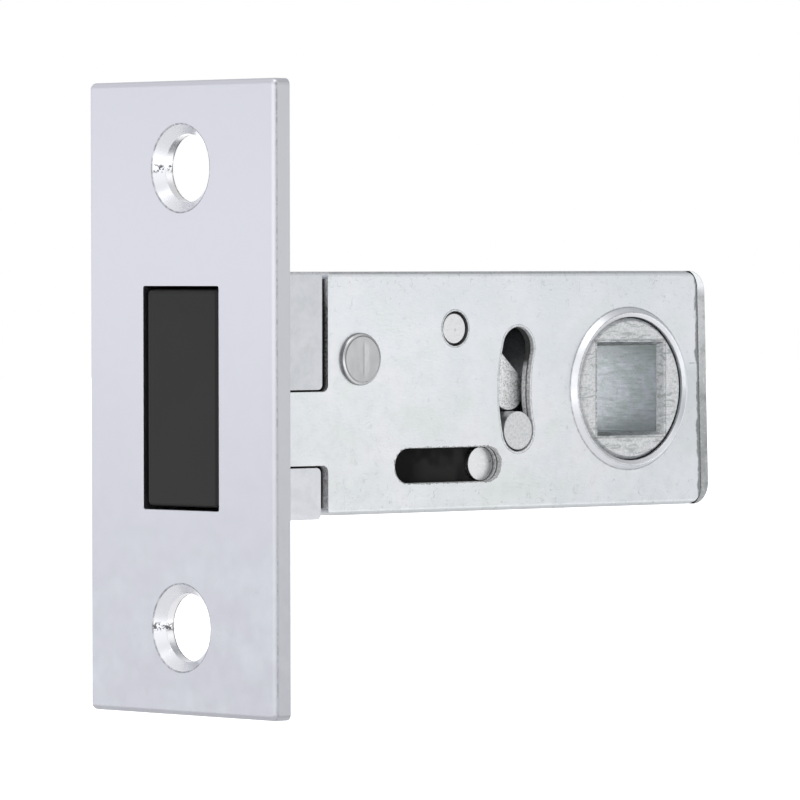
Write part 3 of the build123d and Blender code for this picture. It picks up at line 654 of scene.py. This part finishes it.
def rivet_steel():
    """A pressed rivet head: smooth and darkish, with painted shade and painted highlights on its face
    and near its edge.
    """
    s = Shader("rivet_steel")
    x = s.axis("X")
    upright = s.stretched((1.0, 1.0, 0.4))
    grain = s.noise(1.2 * MM, detail=4.0, roughness=0.55, vector=upright)
    colour = s.mix(s.ramp(grain, 0.3, 0.7), (0.42, 0.425, 0.43, 1), (0.5, 0.505, 0.51, 1))
    radius = s.from_axis(RIVET_CENTRE.x, RIVET_CENTRE.z)
    # A painted highlight: an upright light streak in the middle, with a streak of painted shade
    # beside it
    middle = s.below(radius, 1.5 * MM, 0.4 * MM)
    shade = s.both(s.band(x, RIVET_CENTRE.x + 0.12 * MM, 0.16 * MM), middle)
    colour = s.mix(s.both(shade, 0.45), colour, (0.26, 0.265, 0.27, 1))
    light = s.both(s.band(x, RIVET_CENTRE.x + 0.5 * MM, 0.42 * MM), middle)
    light = s.both(light, s.ramp(grain, 0.35, 0.6, 0.4, 1.0))
    colour = s.mix(s.both(light, 0.5), colour, (0.68, 0.68, 0.685, 1))
    # Painted shade: two dark rings near the head's edge, with a painted highlight ring between them
    # towards the faceplate
    painted_shade_rings = s.band(radius, 2.42 * MM, 0.08 * MM)
    painted_shade_rings = s.math("MAXIMUM", s.band(radius, 2.1 * MM, 0.09 * MM), painted_shade_rings)
    painted_shade_rings = s.both(painted_shade_rings, s.ramp(grain, 0.3, 0.6, 0.45, 0.95))
    colour = s.mix(painted_shade_rings, colour, (0.2, 0.21, 0.21, 1))
    painted_highlight_ring = s.both(s.band(radius, 2.26 * MM, 0.09 * MM), s.below(x, RIVET_CENTRE.x, 1.0 * MM))
    colour = s.mix(s.both(painted_highlight_ring, 0.7), colour, (0.85, 0.85, 0.86, 1))
    normal = s.bump(grain, 0.006 * MM, s.bevel(0.12 * MM))
    return s.finish(colour, s.ramp(grain, 0.3, 0.7, 0.24, 0.32), normal)


def black_plastic():
    """Black moulded nylon: a fine satin head with a darker border of painted shade, and a duller tail
    in painted shade, with painted light to its rear.
    """
    s = Shader("black_plastic")
    x = s.axis("X")
    uneven = s.noise(6 * MM, detail=3.0)
    fine = s.noise(0.2 * MM, detail=3.0, roughness=0.6)
    colour = s.ramp(uneven, 0.3, 0.7)
    colour = s.mix(colour, (0.031, 0.031, 0.0295, 1), (0.0355, 0.035, 0.034, 1))
    # The tail: nearly black with painted shade, lighter to the rear with painted light, with a few
    # pale specks
    painted_light_on_tail = s.ramp(s.noise(3.5 * MM, detail=2.0), 0.45, 0.6, 0.0, 0.025)
    painted_light_on_tail = s.both(painted_light_on_tail, s.ramp(x, 21 * MM, 24 * MM))
    painted_light_on_tail = s.math("ADD", painted_light_on_tail, s.ramp(x, 21 * MM, 31 * MM, 0.0, 0.012))
    tail_colour = s.mix(painted_light_on_tail, (0.004, 0.004, 0.004, 1), (1, 1, 0.95, 1))
    speck = s.below(s.scatter(2.2 * MM), 0.035, 0.01)
    tail_colour = s.mix(s.both(speck, 0.5), tail_colour, (0.8, 0.8, 0.8, 1))
    tail = s.above(x, HEAD_END_X)
    colour = s.mix(tail, colour, tail_colour)
    # Painted shade: the dark border at one side of the head's face; and the dark edges
    painted_border_shade = s.ramp(s.axis("Y"), -4.85 * MM, -4.35 * MM, 1.0, 0.0)
    painted_border_shade = s.both(painted_border_shade, s.below(s.facing("X"), -0.9, 0.05))
    colour = s.mix(s.both(painted_border_shade, 0.85), colour, (0.003, 0.003, 0.003, 1))
    edge = s.both(s.edge(0.16 * MM), s.ramp(fine, 0.4, 0.6))
    colour = s.mix(edge, colour, (0.004, 0.004, 0.004, 1))
    roughness = s.math("ADD", s.ramp(uneven, 0.3, 0.7, 0.36, 0.42), s.both(tail, 0.35))
    normal = s.bump(fine, 0.006 * MM, s.bevel(0.12 * MM))
    s.principled.inputs["Specular IOR Level"].default_value = 0.16
    return s.finish(colour, roughness, normal, metallic=0.0)


def magnet():
    """A plain grey magnet with a nickel sheen."""
    s = Shader("magnet")
    grain = s.noise(0.3 * MM, detail=3.0)
    colour = s.mix(grain, (0.2, 0.2, 0.21, 1), (0.34, 0.34, 0.35, 1))
    return s.finish(colour, s.ramp(grain, 0.3, 0.7, 0.35, 0.5), s.bump(grain, 0.01 * MM))


def spring_steel():
    """Drawn spring wire with a fine grain."""
    s = Shader("spring_steel")
    grain = s.noise(0.15 * MM, detail=3.0)
    colour = s.mix(grain, (0.4, 0.4, 0.41, 1), (0.6, 0.6, 0.61, 1))
    return s.finish(colour, s.ramp(grain, 0.3, 0.7, 0.22, 0.36), s.bump(grain, 0.006 * MM))


FINISHES = {
    satin_chrome: ("forend",),
    zinc_body: ("case_body",),
    zinc_cover: ("case_cover",),
    cast_hub: ("hub",),
    cast_lever: ("lever",),
    pin_steel: ("lever_pin", "bolt_pin", "spring_post"),
    rivet_steel: ("spacer_rivet",),
    black_plastic: ("bolt",),
    magnet: ("bolt_magnet",),
    spring_steel: ("bolt_spring", "return_spring"),
}


def dress_nodes():
    """Gives each node its finish."""
    for make_finish, names in FINISHES.items():
        finish = make_finish()
        for name in names:
            mesh = nodes[name].data
            mesh.materials.clear()
            mesh.materials.append(finish)


def stretch_spring(name):
    """A copy of a spring, in the spring's place, with the spring itself hidden."""
    piece = bpy.data.objects.new(name + "_drawn", nodes[name].data.copy())
    bpy.context.scene.collection.objects.link(piece)
    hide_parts(name)
    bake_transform(piece)


def stretch_bolt_spring():
    """The bolt's spring, from its post in the case to the bolt's fork."""
    stretch_spring("bolt_spring")


def stretch_return_spring():
    """The lever's spring, from the rivet to the lever."""
    stretch_spring("return_spring")


def background_rays(tree):
    """1 for rays from the camera and for reflections and refractions, 0 for diffuse light."""
    path = tree.nodes.new("ShaderNodeLightPath")
    total = path.outputs["Is Camera Ray"]
    for name in ("Is Glossy Ray", "Is Transmission Ray"):
        node = tree.nodes.new("ShaderNodeMath")
        node.operation = "MAXIMUM"
        tree.links.new(total, node.inputs[0])
        tree.links.new(path.outputs[name], node.inputs[1])
        total = node.outputs[0]
    return total


def world_ramp(tree, value, low, high, first, second):
    """A colour that goes from first at low to second at high."""
    ramp = tree.nodes.new("ShaderNodeMapRange")
    ramp.interpolation_type = "SMOOTHSTEP"
    tree.links.new(value, ramp.inputs["Value"])
    ramp.inputs["From Min"].default_value = low
    ramp.inputs["From Max"].default_value = high
    node = tree.nodes.new("ShaderNodeMix")
    node.data_type = "RGBA"
    tree.links.new(ramp.outputs["Result"], node.inputs["Factor"])
    for colour, socket in ((first, node.inputs[6]), (second, node.inputs[7])):
        if isinstance(colour, bpy.types.NodeSocket):
            tree.links.new(colour, socket)
        else:
            socket.default_value = colour
    return node.outputs[2]


def make_world():
    """A light tent: greys by the angle round the latch, from -X (0) to the slotted side (90)."""
    world = bpy.data.worlds.new("tent")
    bpy.context.scene.world = world
    world.use_nodes = True
    tree = world.node_tree
    shade = tree.nodes["Background"]
    direction = tree.nodes.new("ShaderNodeTexCoord").outputs["Generated"]
    split = tree.nodes.new("ShaderNodeSeparateXYZ")
    tree.links.new(direction, split.inputs[0])
    turned = tree.nodes.new("ShaderNodeVectorMath")
    turned.operation = "SCALE"
    tree.links.new(direction, turned.inputs[0])
    turned.inputs["Scale"].default_value = -1.0
    back = tree.nodes.new("ShaderNodeSeparateXYZ")
    tree.links.new(turned.outputs["Vector"], back.inputs[0])
    arctan = tree.nodes.new("ShaderNodeMath")
    arctan.operation = "ARCTAN2"
    tree.links.new(back.outputs["Y"], arctan.inputs[0])
    tree.links.new(back.outputs["X"], arctan.inputs[1])
    angle = arctan.outputs[0]
    walls = TENT[0][1]
    for (start, _), (end, colour) in zip(TENT[:-1], TENT[1:]):
        walls = world_ramp(tree, angle, math.radians(start), math.radians(end), walls, colour)
    # Overhead it is darker towards the rear
    front, rear = (0.88, 0.88, 0.9, 1), (0.62, 0.62, 0.635, 1)
    overhead = world_ramp(tree, split.outputs["X"], 0.0, 0.45, front, rear)
    tent = world_ramp(tree, split.outputs["Z"], 0.3, 0.65, walls, overhead)
    # The camera sees plain white behind the latch
    path = tree.nodes.new("ShaderNodeLightPath")
    seen = tree.nodes.new("ShaderNodeMix")
    seen.data_type = "RGBA"
    tree.links.new(path.outputs["Is Camera Ray"], seen.inputs["Factor"])
    tree.links.new(tent, seen.inputs[6])
    seen.inputs[7].default_value = (1, 1, 1, 1)
    tree.links.new(seen.outputs[2], shade.inputs["Color"])
    strength = tree.nodes.new("ShaderNodeMix")
    strength.data_type = "FLOAT"
    tree.links.new(background_rays(tree), strength.inputs["Factor"])
    strength.inputs[2].default_value = TENT_LIGHT
    strength.inputs[3].default_value = 1.0
    tree.links.new(strength.outputs[0], shade.inputs["Strength"])


def make_floor():
    """A plain pale floor that keeps a soft shadow under the latch and fades to white further away."""
    mesh = bpy.data.meshes.new("floor")
    half = FLOOR_SIZE / 2
    z = cad_low.z - FLOOR_DROP
    corners = [(-half, -half, z), (half, -half, z), (half, half, z), (-half, half, z)]
    mesh.from_pydata(corners, [], [(0, 1, 2, 3)])
    floor = bpy.data.objects.new("floor", mesh)
    bpy.context.scene.collection.objects.link(floor)
    material = bpy.data.materials.new("floor")
    material.use_nodes = True
    tree = material.node_tree
    surface = tree.nodes["Principled BSDF"]
    surface.inputs["Base Color"].default_value = (0.86, 0.86, 0.865, 1)
    surface.inputs["Roughness"].default_value = 0.9
    surface.inputs["Emission Color"].default_value = (1, 1, 1, 1)
    away = tree.nodes.new("ShaderNodeVectorMath")
    away.operation = "LENGTH"
    tree.links.new(tree.nodes.new("ShaderNodeTexCoord").outputs["Object"], away.inputs[0])
    fade = tree.nodes.new("ShaderNodeMapRange")
    fade.interpolation_type = "SMOOTHSTEP"
    tree.links.new(away.outputs["Value"], fade.inputs["Value"])
    fade.inputs["From Min"].default_value = FLOOR_FADE[0]
    fade.inputs["From Max"].default_value = FLOOR_FADE[1]
    fade.inputs["To Min"].default_value = 0.3
    fade.inputs["To Max"].default_value = 1.0
    glow = tree.nodes.new("ShaderNodeMath")
    glow.operation = "MULTIPLY"
    tree.links.new(background_rays(tree), glow.inputs[0])
    tree.links.new(fade.outputs["Result"], glow.inputs[1])
    tree.links.new(glow.outputs[0], surface.inputs["Emission Strength"])
    mesh.materials.append(material)


def outwards(azimuth, elevation):
    """The way from the latch to where a view or a lamp stands, by its angles in degrees."""
    a, e = math.radians(azimuth), math.radians(elevation)
    return Vector((math.sin(a) * math.cos(e), -math.cos(a) * math.cos(e), math.sin(e)))


def area_light(name, azimuth, elevation, distance, size, power):
    """A soft white lamp, size metres square, that faces the latch."""
    data = bpy.data.lights.new(name, "AREA")
    data.shape = "SQUARE"
    data.size = size
    data.energy = power
    lamp = bpy.data.objects.new(name, data)
    back = outwards(azimuth, elevation)
    lamp.location = CAMERA_TARGET + back * distance
    lamp.rotation_euler = back.to_track_quat("Z", "Y").to_euler()
    bpy.context.scene.collection.objects.link(lamp)


def make_camera():
    """The photo's camera."""
    data = bpy.data.cameras.new("camera")
    data.lens = CAMERA_LENS
    data.clip_start = 0.01
    data.clip_end = 20
    camera = bpy.data.objects.new("camera", data)
    back = outwards(CAMERA_AZIMUTH, CAMERA_ELEVATION)
    roll = Matrix.Rotation(math.radians(CAMERA_ROLL), 3, "Z")
    camera.location = CAMERA_TARGET + back * CAMERA_DISTANCE
    camera.rotation_euler = (back.to_track_quat("Z", "Y").to_matrix() @ roll).to_euler()
    bpy.context.scene.collection.objects.link(camera)
    bpy.context.scene.camera = camera


dress_nodes()
stretch_bolt_spring()
stretch_return_spring()
make_world()
make_floor()
area_light("top", azimuth=-45, elevation=70, distance=0.8, size=0.5, power=0.9)
area_light("right", azimuth=35, elevation=25, distance=0.9, size=0.4, power=0.22)
make_camera()
bpy.context.scene.view_settings.view_transform = "Standard"
